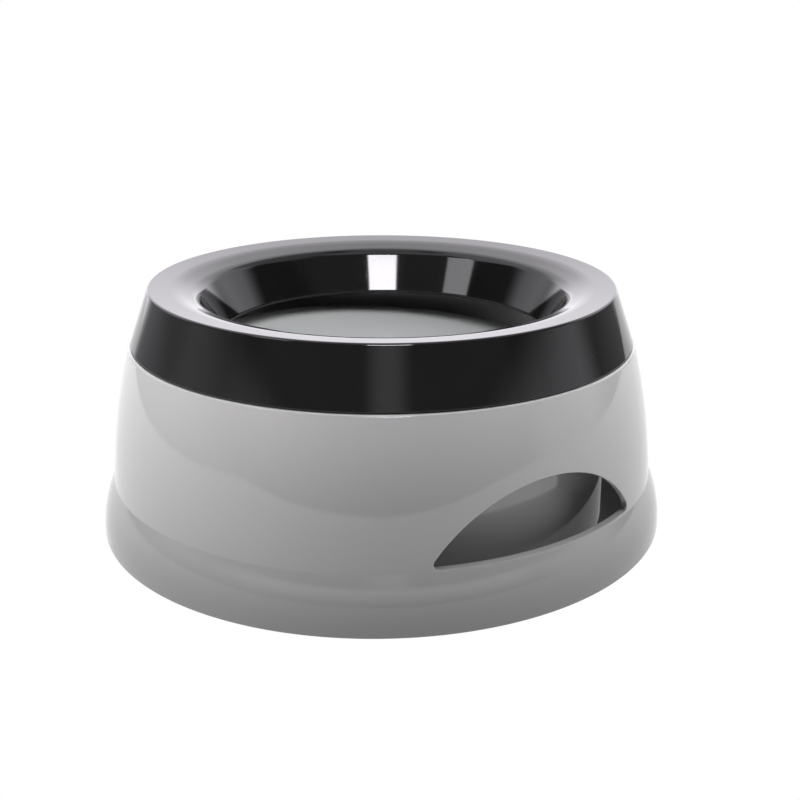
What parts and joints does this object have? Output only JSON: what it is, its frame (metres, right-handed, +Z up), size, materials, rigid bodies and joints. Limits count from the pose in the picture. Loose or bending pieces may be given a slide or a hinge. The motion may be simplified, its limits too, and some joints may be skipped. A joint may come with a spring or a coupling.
{
  "type": "no spill dog water bowl",
  "caption": "Low round pet water bowl with a double wall, two hand-holds, a twist-on splash ring and a floating disc that covers the water",
  "frame": {"origin": "middle of the surface that the feet stand on", "axes": "+Z up; the two hand-holds face +X and -X; the disc floats lowest towards 58 degrees from +X"},
  "size_m": [0.189, 0.189, 0.0799],
  "materials": {
    "body_plastic": "smooth moulded grey plastic",
    "ring_plastic": "polished black plastic",
    "disc_plastic": "smooth moulded cool grey plastic",
    "foot_rubber": "dull dark rubber"
  },
  "bodies": {
    "base": {"bowl_body": "body_plastic", "foot_pad_1": "foot_rubber", "foot_pad_2": "foot_rubber", "foot_pad_3": "foot_rubber", "foot_pad_4": "foot_rubber"},
    "ring": {"splash_ring": "ring_plastic"},
    "float": {"float_disc": "disc_plastic"}
  },
  "joints": [
    {"name": "ring_twist", "type": "hinge", "parent": "base", "child": "ring", "pos_m": [0, 0, 0.062], "axis": [0, 0, 1], "range_deg": [0, 30]},
    {"name": "float_travel", "type": "slide", "parent": "base", "child": "float", "axis": [0, 0, 1], "range_m": [-0.0373, 0.0038]}
  ]
}
